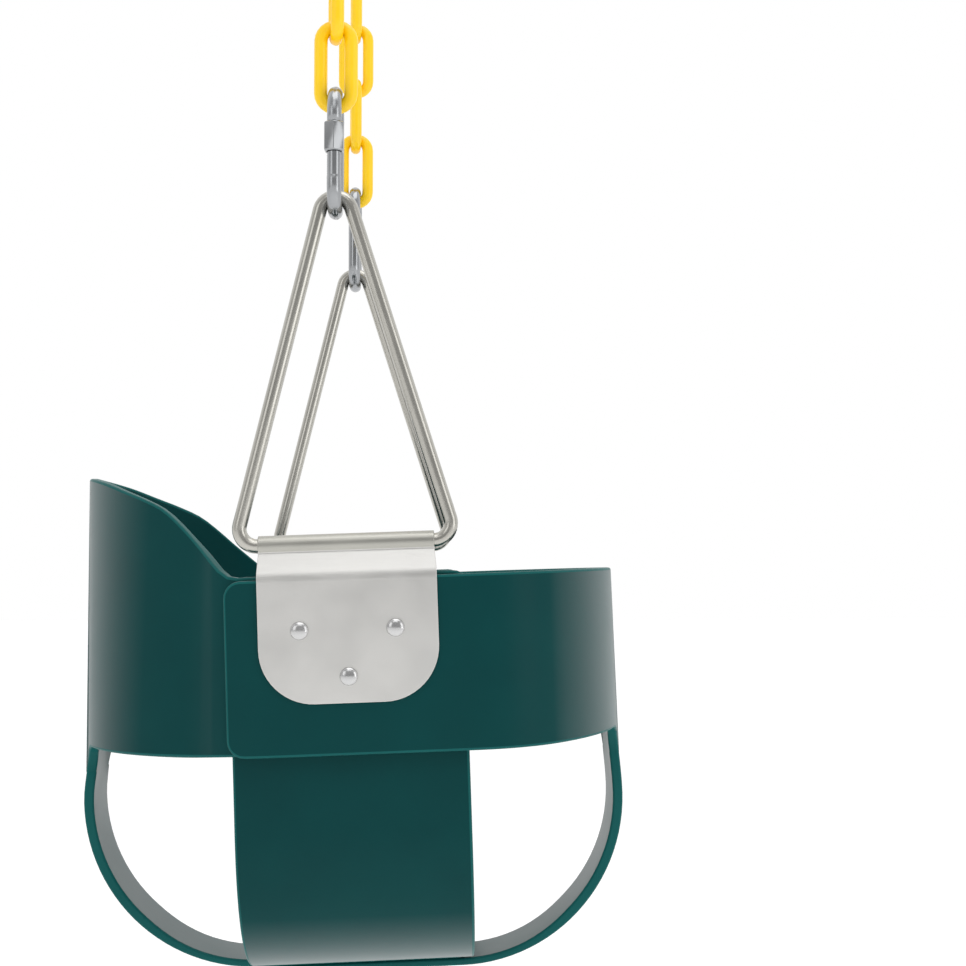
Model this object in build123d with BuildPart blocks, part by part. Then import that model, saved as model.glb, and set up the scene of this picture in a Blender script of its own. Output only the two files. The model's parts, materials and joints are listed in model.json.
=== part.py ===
from build123d import *
from math import acos, atan2, cos, degrees, hypot, radians, sin
import os

os.makedirs("parts", exist_ok=True)

# Toddler bucket swing. Millimetres. +X is the front (the way the child faces), +Y the child's left,
# +Z up. The origin is midway between the two hooks, on the line that carries the swing.

# ---- driving dimensions ----------------------------------------------------------------------
HANG_HALF = 115.0        # chains, triangles and hooks lie in the planes Y = +-115
HANG_TILT = 2.0          # the seat hangs a little heavy at the back, in degrees
GAP = 0.3                # play left where one ring rests in the next

HOOK_WIRE = 8.0
HOOK_LONG = 80.0
HOOK_WIDE = 40.0
HOOK_GAP_LOW = -54.0     # the mouth of the hook, closed by the gate
HOOK_GAP_HIGH = -14.0
GATE_D = 7.0
GATE_PIN_R = 1.5
TONGUE_T = 3.2
TONGUE_TOP = -44.0
PIVOT_Z = -49.0

LINK_D = 6.6             # chain link with its coat
LINK_CORE_D = 4.8        # the steel inside the coat
LINK_LONG = 53.0
LINK_WIDE = 23.6
LINKS = 5

QUICK_WIRE = 8.0
QUICK_LONG = 74.0
QUICK_WIDE = 34.0
NUT_FLATS = 10.6
NUT_LONG = 16.5
QUICK_GAP = 10.0

TRI_WIRE = 8.0
TRI_HALF_ANGLE = 15.75
TRI_APEX_R = 9.0         # centreline radii of the bends
TRI_BASE_R = 9.5
TRI_DROP = 192.3         # apex centreline down to the base wire's axis

SHEET = 1.5
CURL_CLEAR = 0.05
PLATE_HALF = 49.3
CURL_HALF = 47.0
PLATE_BEND = 16.4        # below the base wire's axis
PLATE_DROP = 86.4
PLATE_CORNER = 30.0
RIVETS = ((-26.0, -46.6), (26.0, -46.6), (0.0, -72.0))
RIVET_D = 5.0
RIVET_HEAD_D = 10.0
RIVET_HEAD_H = 3.0
WASHER_D = 11.0
WASHER_T = 1.0

LAYER = 6.0              # each moulded panel
STACK = 3 * LAYER
SEAT_HALF = HANG_HALF + STACK / 2
BAND_TOP = -18.7         # below the base wire's axis
BAND_LOW = -114.6
INNER_TOP = BAND_TOP + 2.0
BACK_PEAK = 46.4
WING_END = 67.5          # where the side wings stop
SIDE_STRAP_HALF = 65.2   # half the side strap's width
SIDE_STRAP_MID = -1.0
WING_CORNER = 9.5
FRONT_X = 158.6
FRONT_NOSE_R = 150.0
FRONT_SIDE_R = 65.0
BACK_X = 164.6
BACK_NOSE_R = 140.0
BACK_SIDE_R = 85.0
STRAP_HALF = 20.5        # half the width of the front-to-back strap
STRAP_T = 5.0
STRAP_R = 100.0
STRAP_LOW = -255.0       # underside of the lowest strap, below the base wire's axis
LEG_CORNER = 16.0
SIDE_STRAP_R = 88.0
FLUSH_R = 6.0            # pocket in the seat floor that takes each washer and flush head
FLUSH_DEEP = 2.2
BOTTOM_RIVETS = ((-45.0, -11.0), (-45.0, 11.0), (45.0, -11.0), (45.0, 11.0))

# ---- heights that follow from them ------------------------------------------------------------
hook_low_z = HOOK_WIRE - HOOK_LONG + HOOK_WIRE / 2          # centre of the hook's lower bend
link_top_z = hook_low_z + HOOK_WIRE / 2 + GAP + LINK_D / 2  # centre of the top link's upper bend
pitch = LINK_LONG - 2 * LINK_D - GAP
link_half = (LINK_LONG - LINK_D) / 2
chain_low_z = link_top_z - (LINKS - 1) * pitch - 2 * link_half
quick_top_z = chain_low_z + LINK_D / 2 + GAP + QUICK_WIRE / 2
quick_low_z = quick_top_z - (QUICK_LONG - QUICK_WIRE)
apex_z = quick_low_z + QUICK_WIRE / 2 + GAP + TRI_WIRE / 2
print("hinge heights:", round(hook_low_z, 3), round(quick_top_z, 3), round(apex_z, 3))
print("link centres:", [round(link_top_z - link_half - i * pitch, 3) for i in range(LINKS)])

# ---- planes of the tilted seat, with its base wire's axis as their zero height --------------------
ct = cos(radians(HANG_TILT))
st = sin(radians(HANG_TILT))
base = Vector(0, 0, apex_z) - TRI_DROP * Vector(-st, 0, ct)
seat_side = Plane(origin=base, x_dir=(ct, 0, st), z_dir=(0, -1, 0))
seat_plan = Plane(origin=base, x_dir=(ct, 0, st), z_dir=(-st, 0, ct))
seat_front = Plane(origin=base, x_dir=(0, 1, 0), z_dir=(ct, 0, st))
print("base axis at:", round(base.X, 3), round(base.Z, 3))

SIDES = (("right", -1), ("left", 1))


def save(builder, name):
    builder.part.label = name
    export_step(builder.part, f"parts/{name}.step")


def oval(half_long, half_wide, wire):
    """Centreline of a ring with round ends, standing up, centred on the sketch plane."""
    r = half_wide - wire / 2
    s = half_long - wire / 2 - r
    Line((r, 0), (r, s))
    CenterArc((0, s), r, 0, 180)
    Line((-r, s), (-r, -s))
    CenterArc((0, -s), r, 180, 180)
    Line((r, -s), (r, 0))


# ---- moulded panels ------------------------------------------------------------------------------
def wall(end_x, nose_r, side_r, half, t, wing):
    """Half of a bucket wall in plan: a wide nose, two rounded corners and two straight wings."""
    dy = half - side_r
    dx = (((nose_r - side_r) ** 2) - dy ** 2) ** 0.5
    nose_x = end_x - nose_r
    side_x = nose_x + dx
    a = degrees(atan2(dy, dx))
    for d in (0.0, t):
        CenterArc((nose_x, 0), nose_r - d, -a, 2 * a)
        CenterArc((side_x, dy), side_r - d, a, 90 - a)
        CenterArc((side_x, -dy), side_r - d, -90, 90 - a)
        Line((side_x, half - d), (-wing, half - d))
        Line((side_x, -half + d), (-wing, -half + d))
    Line((-wing, half), (-wing, half - t))
    Line((-wing, -half), (-wing, -half + t))


front_strap_z = STRAP_LOW + STRAP_R
back_low = STRAP_LOW + STRAP_T
back_strap_z = back_low + STRAP_R
side_low = back_low + STRAP_T
back_strap_end = FRONT_X - STRAP_R
leg_cut_h = 60.0

with BuildPart() as front_panel:
    with BuildSketch(seat_plan.offset(front_strap_z)):
        with BuildLine():
            wall(FRONT_X, FRONT_NOSE_R, FRONT_SIDE_R, SEAT_HALF, LAYER, WING_END)
        make_face()
    extrude(amount=BAND_TOP - front_strap_z)
    with BuildSketch(seat_front):
        for s in (-1, 1):
            with Locations((s * (STRAP_HALF + 60), BAND_LOW - leg_cut_h / 2)):
                Rectangle(120, leg_cut_h)
        inner = [v for v in vertices() if abs(abs(v.X) - STRAP_HALF) < 0.01 and v.Y > BAND_LOW - 1]
        fillet(inner, LEG_CORNER)
    extrude(amount=200, both=True, mode=Mode.SUBTRACT)
    fillet(front_panel.edges().filter_by(Axis.Y).sort_by(Axis.X)[:4], WING_CORNER)
    with BuildSketch(seat_side):
        with BuildLine():
            CenterArc((FRONT_X - STRAP_R, front_strap_z), STRAP_R, 0, -90)
            CenterArc((FRONT_X - STRAP_R, front_strap_z), STRAP_R - STRAP_T, 0, -90)
            Line((FRONT_X, front_strap_z), (FRONT_X - STRAP_T, front_strap_z))
            Line((FRONT_X - STRAP_R, STRAP_LOW), (-WING_END, STRAP_LOW))
            Line((-WING_END, STRAP_LOW), (-WING_END, back_low))
            Line((-WING_END, back_low), (FRONT_X - STRAP_R, back_low))
        make_face()
    extrude(amount=STRAP_HALF, both=True)
    with Locations(*[seat_side.offset(s * SEAT_HALF).location * Location((u, w)) for s in (-1, 1) for u, w in RIVETS]):
        Cylinder(RIVET_D / 2 + 0.1, 60, mode=Mode.SUBTRACT)
    with Locations(*[seat_plan.offset(STRAP_LOW).location * Location((u, y)) for u, y in BOTTOM_RIVETS]):
        Cylinder(RIVET_D / 2 + 0.1, 20, mode=Mode.SUBTRACT)
save(front_panel, "front_panel")

with BuildPart() as back_panel:
    with BuildSketch(seat_plan.offset(back_strap_z)):
        with BuildLine():
            wall(BACK_X, BACK_NOSE_R, BACK_SIDE_R, SEAT_HALF - LAYER, LAYER, WING_END)
        make_face()
        mirror(about=Plane.YZ, mode=Mode.REPLACE)
    extrude(amount=BACK_PEAK - back_strap_z)
    with BuildSketch(seat_side):
        with BuildLine():
            Spline(
                (-172, BACK_PEAK),
                (-140, BACK_PEAK - 6.2),
                (-110, BACK_PEAK - 18.2),
                (-90, BACK_PEAK - 35.0),
                (-75, INNER_TOP + 8.8),
                (-60, INNER_TOP),
                tangents=((1, -0.1), (1, 0)),
            )
            Line((-60, INNER_TOP), (90, INNER_TOP))
            Line((90, INNER_TOP), (90, BACK_PEAK + 20))
            Line((90, BACK_PEAK + 20), (-172, BACK_PEAK + 20))
            Line((-172, BACK_PEAK + 20), (-172, BACK_PEAK))
        make_face()
    extrude(amount=200, both=True, mode=Mode.SUBTRACT)
    with BuildSketch(seat_front):
        for s in (-1, 1):
            with Locations((s * (STRAP_HALF + 60), BAND_LOW - leg_cut_h / 2)):
                Rectangle(120, leg_cut_h)
        inner = [v for v in vertices() if abs(abs(v.X) - STRAP_HALF) < 0.01 and v.Y > BAND_LOW - 1]
        fillet(inner, LEG_CORNER)
    extrude(amount=200, both=True, mode=Mode.SUBTRACT)
    fillet(back_panel.edges().filter_by(Axis.Y).sort_by(Axis.X)[-4:], WING_CORNER)
    with BuildSketch(seat_side):
        with BuildLine():
            CenterArc((STRAP_R - BACK_X, back_strap_z), STRAP_R, 180, 90)
            CenterArc((STRAP_R - BACK_X, back_strap_z), STRAP_R - STRAP_T, 180, 90)
            Line((-BACK_X, back_strap_z), (STRAP_T - BACK_X, back_strap_z))
            Line((STRAP_R - BACK_X, back_low), (back_strap_end, back_low))
            Line((back_strap_end, back_low), (back_strap_end, side_low))
            Line((back_strap_end, side_low), (STRAP_R - BACK_X, side_low))
        make_face()
    extrude(amount=STRAP_HALF, both=True)
    with BuildSketch(seat_front.offset(-BACK_X)):
        with Locations((0, 6)):
            RectangleRounded(90, 44, 8)
    extrude(amount=1.0, mode=Mode.SUBTRACT)
    with Locations(*[seat_side.offset(s * SEAT_HALF).location * Location((u, w)) for s in (-1, 1) for u, w in RIVETS]):
        Cylinder(RIVET_D / 2 + 0.1, 60, mode=Mode.SUBTRACT)
    with Locations(*[seat_plan.offset(STRAP_LOW).location * Location((u, y)) for u, y in BOTTOM_RIVETS]):
        Cylinder(RIVET_D / 2 + 0.1, 30, mode=Mode.SUBTRACT)
save(back_panel, "back_panel")

with BuildPart() as side_strap:
    out = SEAT_HALF - 2 * LAYER
    with BuildSketch(seat_front.offset(SIDE_STRAP_MID)):
        with BuildLine():
            for d in (0.0, LAYER):
                for s in (-1, 1):
                    Line((s * (out - d), INNER_TOP), (s * (out - d), side_low + SIDE_STRAP_R))
                CenterArc((out - SIDE_STRAP_R, side_low + SIDE_STRAP_R), SIDE_STRAP_R - d, -90, 90)
                CenterArc((SIDE_STRAP_R - out, side_low + SIDE_STRAP_R), SIDE_STRAP_R - d, 180, 90)
                Line((SIDE_STRAP_R - out, side_low + d), (out - SIDE_STRAP_R, side_low + d))
            for s in (-1, 1):
                Line((s * out, INNER_TOP), (s * (out - LAYER), INNER_TOP))
        make_face()
    extrude(amount=SIDE_STRAP_HALF, both=True)
    fillet(side_strap.edges().filter_by(Axis.Y).sort_by(Axis.Z)[-4:], WING_CORNER)
    with Locations(*[seat_side.offset(s * SEAT_HALF).location * Location((u, w)) for s in (-1, 1) for u, w in RIVETS]):
        Cylinder(RIVET_D / 2 + 0.1, 60, mode=Mode.SUBTRACT)
    with Locations(*[seat_plan.offset(STRAP_LOW).location * Location((u, y)) for u, y in BOTTOM_RIVETS]):
        Cylinder(RIVET_D / 2 + 0.1, 60, mode=Mode.SUBTRACT)
    with BuildSketch(seat_plan.offset(side_low + LAYER - FLUSH_DEEP)):
        with Locations(*BOTTOM_RIVETS):
            Circle(FLUSH_R)
    extrude(amount=10, mode=Mode.SUBTRACT)
save(side_strap, "side_strap")

# ---- rivets under the seat ---------------------------------------------------------------------
washer_low = side_low + LAYER - FLUSH_DEEP
with BuildPart() as bottom_rivets:
    with BuildSketch(seat_plan.offset(STRAP_LOW)):
        with Locations(*BOTTOM_RIVETS):
            Circle(RIVET_D / 2)
    extrude(amount=washer_low + WASHER_T - STRAP_LOW)
    for z, h in ((STRAP_LOW, -RIVET_HEAD_H + 1), (washer_low + WASHER_T, FLUSH_DEEP - WASHER_T - 0.2)):
        with BuildSketch(seat_plan.offset(z)):
            with Locations(*BOTTOM_RIVETS):
                Circle(RIVET_HEAD_D / 2)
        extrude(amount=h, taper=30)
save(bottom_rivets, "bottom_rivets")

with BuildPart() as bottom_washers:
    with BuildSketch(seat_plan.offset(washer_low)):
        with Locations(*BOTTOM_RIVETS):
            Circle(WASHER_D / 2)
            Circle(RIVET_D / 2 + 0.1, mode=Mode.SUBTRACT)
    extrude(amount=WASHER_T)
save(bottom_washers, "bottom_rivet_washers")

# ---- one hanger on each side -------------------------------------------------------------------
curl_in = TRI_WIRE / 2 + CURL_CLEAR
curl_out = curl_in + SHEET
leg_in = STACK / 2
leg_out = leg_in + SHEET
reach = hypot(leg_in, PLATE_BEND)
curl_a = degrees(atan2(-PLATE_BEND, leg_in) + acos(curl_in / reach))
nx = cos(radians(curl_a))
nz = sin(radians(curl_a))
bend_out = (curl_out - nx * leg_out) / nz

for side, sign in SIDES:
    mid = sign * HANG_HALF
    plate_face = seat_side.offset(-mid)
    with BuildPart() as plate:
        with BuildSketch(seat_front):
            with BuildLine():
                for r, leg, bend in ((curl_in, leg_in, -PLATE_BEND), (curl_out, leg_out, bend_out)):
                    CenterArc((mid, 0), r, curl_a, 180 - 2 * curl_a)
                    for s in (-1, 1):
                        Line((mid + s * r * nx, r * nz), (mid + s * leg, bend))
                        Line((mid + s * leg, bend), (mid + s * leg, -PLATE_DROP))
                for s in (-1, 1):
                    Line((mid + s * leg_in, -PLATE_DROP), (mid + s * leg_out, -PLATE_DROP))
            make_face()
        extrude(amount=PLATE_HALF + 1, both=True)
        with BuildSketch(plate_face):
            with BuildLine():
                Polyline(
                    (-CURL_HALF, curl_out + 1),
                    (-CURL_HALF, -4),
                    (-PLATE_HALF, -9),
                    (-PLATE_HALF, -PLATE_DROP),
                    (PLATE_HALF, -PLATE_DROP),
                    (PLATE_HALF, -9),
                    (CURL_HALF, -4),
                    (CURL_HALF, curl_out + 1),
                    close=True,
                )
            make_face()
            fillet(vertices().sort_by(Axis.Y)[:2], PLATE_CORNER)
        extrude(amount=20, both=True, mode=Mode.INTERSECT)
        with Locations(*[plate_face.location * Location((u, w)) for u, w in RIVETS]):
            Cylinder(RIVET_D / 2 + 0.1, 60, mode=Mode.SUBTRACT)
    save(plate, f"{side}_hanger_plate")

    with BuildPart() as rivets:
        spots = [(u, w) for u, w in RIVETS]
        with BuildSketch(plate_face):
            with Locations(*spots):
                Circle(RIVET_D / 2)
        extrude(amount=leg_out + WASHER_T, both=True)
        for z, h in ((leg_out, RIVET_HEAD_H), (-leg_out - WASHER_T, -RIVET_HEAD_H)):
            z = z if sign < 0 else -z
            h = h if sign < 0 else -h
            with BuildSketch(plate_face.offset(z)):
                with Locations(*spots):
                    Circle(RIVET_HEAD_D / 2)
            extrude(amount=h / 2)
            with BuildSketch(plate_face.offset(z + h / 2)):
                with Locations(*spots):
                    Circle(RIVET_HEAD_D / 2)
            extrude(amount=h / 2, taper=50)
    save(rivets, f"{side}_plate_rivets")

    with BuildPart() as washers:
        with BuildSketch(plate_face.offset(sign * leg_out)):
            with Locations(*spots):
                Circle(WASHER_D / 2)
                Circle(RIVET_D / 2 + 0.1, mode=Mode.SUBTRACT)
        extrude(amount=sign * WASHER_T)
    save(washers, f"{side}_rivet_washers")

    with BuildPart() as triangle:
        half = radians(TRI_HALF_ANGLE)
        top_c = (0, TRI_DROP - TRI_APEX_R)
        tip_w = TRI_DROP - TRI_APEX_R + TRI_APEX_R / sin(half)
        base_half = tip_w * sin(half) / cos(half)
        corner_x = base_half - TRI_BASE_R * (1 + sin(half)) / cos(half)
        corner_c = (corner_x, TRI_BASE_R)
        top_t = (TRI_APEX_R * cos(half), TRI_DROP - TRI_APEX_R + TRI_APEX_R * sin(half))
        low_t = (corner_x + TRI_BASE_R * cos(half), TRI_BASE_R + TRI_BASE_R * sin(half))
        with BuildLine(plate_face):
            Line((0, 0), (corner_x, 0))
            CenterArc(corner_c, TRI_BASE_R, -90, 90 + TRI_HALF_ANGLE)
            Line(low_t, top_t)
            CenterArc(top_c, TRI_APEX_R, TRI_HALF_ANGLE, 180 - 2 * TRI_HALF_ANGLE)
            Line((-top_t[0], top_t[1]), (-low_t[0], low_t[1]))
            CenterArc((-corner_x, TRI_BASE_R), TRI_BASE_R, 180 - TRI_HALF_ANGLE, 90 + TRI_HALF_ANGLE)
            Line((-corner_x, 0), (0, 0))
        with BuildSketch(Plane(origin=base + Vector(0, mid, 0), z_dir=(ct, 0, st))):
            Circle(TRI_WIRE / 2)
        sweep()
    print(side, "triangle straight base half", round(corner_x, 2), "volume", round(triangle.part.volume, 1))
    save(triangle, f"{side}_triangle")

    # quick link, standing in the YZ plane, with its nut on the outer side
    quick_mid = (quick_top_z + quick_low_z) / 2
    nut_low = quick_mid - 2.7
    gap_low = nut_low + 3.2
    limb_y = mid + sign * (QUICK_WIDE - QUICK_WIRE) / 2
    quick_plane = Plane(origin=(0, mid, quick_mid), x_dir=(0, sign, 0), z_dir=(sign, 0, 0))
    with BuildPart() as quick:
        with BuildLine(quick_plane):
            oval(QUICK_LONG / 2, QUICK_WIDE / 2, QUICK_WIRE)
        with BuildSketch(Plane(origin=(0, limb_y, quick_mid), z_dir=(0, 0, 1))):
            Circle(QUICK_WIRE / 2)
        sweep()
        with BuildSketch(Plane(origin=(0, limb_y, gap_low), z_dir=(0, 0, 1))):
            Circle(QUICK_WIRE)
        extrude(amount=QUICK_GAP, mode=Mode.SUBTRACT)
    save(quick, f"{side}_quick_link")

    with BuildPart() as nut:
        with BuildSketch(Plane(origin=(0, limb_y, nut_low), z_dir=(0, 0, 1))):
            RegularPolygon(NUT_FLATS / 2, 6, major_radius=False, rotation=30)
            Circle(QUICK_WIRE / 2 + 0.05, mode=Mode.SUBTRACT)
        extrude(amount=NUT_LONG)
        outer = nut.edges().filter_by(GeomType.LINE).filter_by(Axis.Z, reverse=True)
        chamfer(outer, 0.7)
    save(nut, f"{side}_quick_link_nut")

    # chain: links 1 (lowest) to 5 (highest), turned a quarter from one to the next
    for i in range(LINKS):
        number = LINKS - i
        mid_z = link_top_z - link_half - i * pitch
        flat = number % 2 == 1
        x_dir = (1, 0, 0) if flat else (0, 1, 0)
        z_dir = (0, -1, 0) if flat else (1, 0, 0)
        link_plane = Plane(origin=(0, mid, mid_z), x_dir=x_dir, z_dir=z_dir)
        limb = Vector(*x_dir) * ((LINK_WIDE - LINK_D) / 2) + Vector(0, mid, mid_z)
        with BuildPart() as coat:
            with BuildLine(link_plane):
                oval(LINK_LONG / 2, LINK_WIDE / 2, LINK_D)
            with BuildSketch(Plane(origin=limb, z_dir=(0, 0, 1))):
                Circle(LINK_D / 2)
                Circle(LINK_CORE_D / 2 + 0.03, mode=Mode.SUBTRACT)
            sweep()
        save(coat, f"{side}_chain_link_{number}")
        with BuildPart() as core:
            with BuildLine(link_plane):
                oval(LINK_LONG / 2, LINK_WIDE / 2, LINK_D)
            with BuildSketch(Plane(origin=limb, z_dir=(0, 0, 1))):
                Circle(LINK_CORE_D / 2)
            sweep()
        save(core, f"{side}_link_core_{number}")

    # snap hook, in the YZ plane, with its gate on the outer side
    hook_mid = HOOK_WIRE - HOOK_LONG / 2
    gate_y = mid + sign * (HOOK_WIDE - HOOK_WIRE) / 2
    hook_plane = Plane(origin=(0, mid, hook_mid), x_dir=(0, sign, 0), z_dir=(sign, 0, 0))
    gate_top = HOOK_GAP_HIGH - 0.5
    with BuildPart() as hook:
        with BuildLine(hook_plane):
            oval(HOOK_LONG / 2, HOOK_WIDE / 2, HOOK_WIRE)
        with BuildSketch(Plane(origin=(0, gate_y, hook_mid), z_dir=(0, 0, 1))):
            Circle(HOOK_WIRE / 2)
        sweep()
        with BuildSketch(Plane(origin=(0, gate_y, HOOK_GAP_LOW), z_dir=(0, 0, 1))):
            Circle(HOOK_WIRE)
        extrude(amount=HOOK_GAP_HIGH - HOOK_GAP_LOW, mode=Mode.SUBTRACT)
        with BuildSketch(Plane(origin=(0, gate_y, 0), x_dir=(0, 1, 0), z_dir=(1, 0, 0))):
            with Locations((0, (PIVOT_Z + HOOK_GAP_LOW) / 2 - 1)):
                Rectangle(5.6, PIVOT_Z - HOOK_GAP_LOW + 2)
            with Locations((0, PIVOT_Z)):
                Circle(2.8)
                Circle(GATE_PIN_R, mode=Mode.SUBTRACT)
        extrude(amount=TONGUE_T / 2, both=True)
    save(hook, f"{side}_snap_hook")

    with BuildPart() as gate:
        with BuildSketch(Plane(origin=(0, gate_y, PIVOT_Z - 3.5), z_dir=(0, 0, 1))):
            Circle(GATE_D / 2)
        extrude(amount=gate_top - PIVOT_Z + 3.5)
        with BuildSketch(Plane(origin=(0, gate_y, PIVOT_Z - 4), z_dir=(0, 0, 1))):
            Rectangle(TONGUE_T + 0.4, GATE_D + 2)
        extrude(amount=8, mode=Mode.SUBTRACT)
        with BuildSketch(Plane(origin=(0, gate_y, PIVOT_Z), x_dir=(0, 1, 0), z_dir=(1, 0, 0))):
            Circle(GATE_PIN_R + 0.05)
        extrude(amount=10, both=True, mode=Mode.SUBTRACT)
    save(gate, f"{side}_hook_gate")

    with BuildPart() as pin:
        with BuildSketch(Plane(origin=(0, gate_y, PIVOT_Z), x_dir=(0, 1, 0), z_dir=(1, 0, 0))):
            Circle(GATE_PIN_R)
        extrude(amount=GATE_D / 2, both=True)
    save(pin, f"{side}_gate_pin")
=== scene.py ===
# %% [markdown]
# # Toddler bucket swing
# Three moulded panels are riveted between two folded steel plates. Each plate is curled round the base of
# a wire triangle, and the triangle hangs from a quick link and a coated chain. The CAD model is the fixed
# frame: each visible piece here is put where the CAD says and rides on one of its bodies.

# %% Load the frame
import json
from math import atan2, cos, hypot, pi, radians, sin, sqrt

import bmesh
import bpy
from mathutils import Matrix, Vector


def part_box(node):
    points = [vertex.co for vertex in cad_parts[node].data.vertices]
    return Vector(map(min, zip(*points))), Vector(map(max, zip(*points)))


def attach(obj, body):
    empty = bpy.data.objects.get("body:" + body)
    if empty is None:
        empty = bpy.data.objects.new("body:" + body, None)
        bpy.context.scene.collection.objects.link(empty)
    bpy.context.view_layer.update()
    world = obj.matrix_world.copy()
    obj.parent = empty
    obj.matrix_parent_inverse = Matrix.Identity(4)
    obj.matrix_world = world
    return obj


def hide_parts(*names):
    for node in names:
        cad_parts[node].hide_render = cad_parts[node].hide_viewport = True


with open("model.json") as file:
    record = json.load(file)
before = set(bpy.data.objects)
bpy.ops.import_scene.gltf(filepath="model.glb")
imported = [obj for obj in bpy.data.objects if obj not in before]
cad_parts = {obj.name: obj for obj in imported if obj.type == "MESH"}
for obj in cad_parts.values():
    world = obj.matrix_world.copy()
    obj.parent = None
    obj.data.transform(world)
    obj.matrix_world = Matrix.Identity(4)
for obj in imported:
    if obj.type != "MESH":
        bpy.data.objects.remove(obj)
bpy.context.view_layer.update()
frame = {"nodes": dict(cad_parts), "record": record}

MM = 0.001
joints = {j["name"]: j for j in frame["record"]["behaviour"]["joints"]}

# %% [markdown]
# The seat hangs a little heavy at the back, so it is modelled level and then turned with its hangers. The
# hinge in the plate's curl gives both the place and the tilt: its axis is the triangle's base wire.

# %% The tilted seat's own frame
curl = joints["seat_level"]
base = Vector((curl["pos_m"][0], 0, curl["pos_m"][2]))
tilt = atan2(curl["axis"][2], curl["axis"][0])
SEAT = Matrix.Translation(base) @ Matrix.Rotation(-tilt, 4, "Y")
HANG = abs(curl["pos_m"][1])
SIDES = (("right", -1), ("left", 1))
print("base wire at", [round(v, 4) for v in base], "tilt in degrees", round(tilt * 180 / pi, 2))

# %% [markdown]
# ## Helpers for materials
# Colours are written as on a paint card and turned to linear light once. One function adds a node with its
# settings and its links, so that each material below reads as a list of what feeds what.

# %% Colour and node helpers
def linear(code):
    channels = [int(code[i:i + 2], 16) / 255 for i in (1, 3, 5)]
    return tuple(c / 12.92 if c <= 0.04045 else ((c + 0.055) / 1.055) ** 2.4 for c in channels) + (1.0,)


def add(tree, kind, settings=(), **links):
    """A node of that kind. settings go to its properties or inputs, links are other nodes' outputs."""
    node = tree.nodes.new(kind)
    for key, value in dict(settings).items():
        if key in node.inputs:
            node.inputs[key].default_value = value
        else:
            setattr(node, key, value)
    for key, output in links.items():
        tree.links.new(output, node.inputs[key.replace("_", " ")])
    return node


def finish_of(name, **settings):
    """A new material with its shader set, its tree, and its object coordinates."""
    material = bpy.data.materials.new(name)
    material.use_nodes = True
    tree = material.node_tree
    shader = tree.nodes["Principled BSDF"]
    for key, value in settings.items():
        shader.inputs[key.replace("_", " ")].default_value = value
    place = add(tree, "ShaderNodeTexCoord").outputs["Object"]
    return material, tree, shader, place


print("white in linear light:", linear("#ffffff"))

# %% [markdown]
# ** EVA, compression moulded.** The panels are a closed-cell rubbery foam with a dense skin. The skin is
# satin, takes a fine sand-blasted grain from the mould (about 0.6 mm), and has slow waves where the sheet
# cooled. A dark green like this one shows its gloss mostly where it turns away from the eye, so the mirror
# part of the shine grows with the angle. The rounded edges are matt and painted a paler teal than the
# face: a painted highlight along the edges.

# %% Moulded EVA
def moulded_eva(name, code, deep, sheen=1.1):
    m, tree, shader, place = finish_of(name, Roughness=0.42, IOR=1.45)
    facing = add(tree, "ShaderNodeLayerWeight", {"Blend": 0.5})
    gloss = add(tree, "ShaderNodeMapRange",
                {"From Min": 0.3, "From Max": 0.85, "To Min": 0.1, "To Max": sheen},
                Value=facing.outputs["Facing"])
    tree.links.new(gloss.outputs["Result"], shader.inputs["Specular IOR Level"])
    cloud = add(tree, "ShaderNodeTexNoise", {"Scale": 22.0, "Detail": 3.0}, Vector=place)
    tone = add(tree, "ShaderNodeMix", {"data_type": "RGBA"})
    tone.inputs[6].default_value = linear(deep)
    tone.inputs[7].default_value = linear(code)
    tree.links.new(cloud.outputs["Fac"], tone.inputs["Factor"])
    tree.links.new(tone.outputs[2], shader.inputs["Base Color"])
    rough = add(tree, "ShaderNodeMapRange", {"To Min": 0.31, "To Max": 0.41}, Value=cloud.outputs["Fac"])
    tree.links.new(rough.outputs["Result"], shader.inputs["Roughness"])
    grain = add(tree, "ShaderNodeTexNoise", {"Scale": 1700.0, "Detail": 2.0}, Vector=place)
    wave = add(tree, "ShaderNodeTexNoise", {"Scale": 45.0, "Detail": 1.0}, Vector=place)
    slow = add(tree, "ShaderNodeBump", {"Strength": 0.12, "Distance": 0.0006}, Height=wave.outputs["Fac"])
    fine = add(tree, "ShaderNodeBump", {"Strength": 0.25, "Distance": 0.00006}, Height=grain.outputs["Fac"],
               Normal=slow.outputs["Normal"])
    tree.links.new(fine.outputs["Normal"], shader.inputs["Normal"])
    return m


EVA = moulded_eva("EVA compression moulded", "#064343", "#053a3b")
# Edge material: matt, and a paler teal than the face, a painted highlight along the rounded edges.
EDGE_PAINTED_HIGHLIGHT = moulded_eva("EVA edge painted highlight", "#175f5d", "#125352", 0.1)
print("panels:", EVA.name, "and", EDGE_PAINTED_HIGHLIGHT.name)

# %% [markdown]
# ** Steel.** The plates are brushed stainless sheet: grit lines about 0.2 mm apart run along X, drawn here
# 0.5 mm apart so that they show. The tight fold is painted a darker grey: painted shade for the darker
# reflection in the curl. The wire is drawn and then tumbled, so it is duller and has short marks. Rivets
# are struck bright, and the quick links and hooks are zinc plated. One recipe makes them all: stretched
# noise for the marks, slow noise for haze in the roughness and for darker patches in the colour, which
# are painted reflections.

# %% Steel
# Slow noise darkens the colour of every steel by up to this factor: painted reflections, in cloudy darker
# patches.
DARKER_PAINTED_REFLECTION = 0.93


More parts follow.
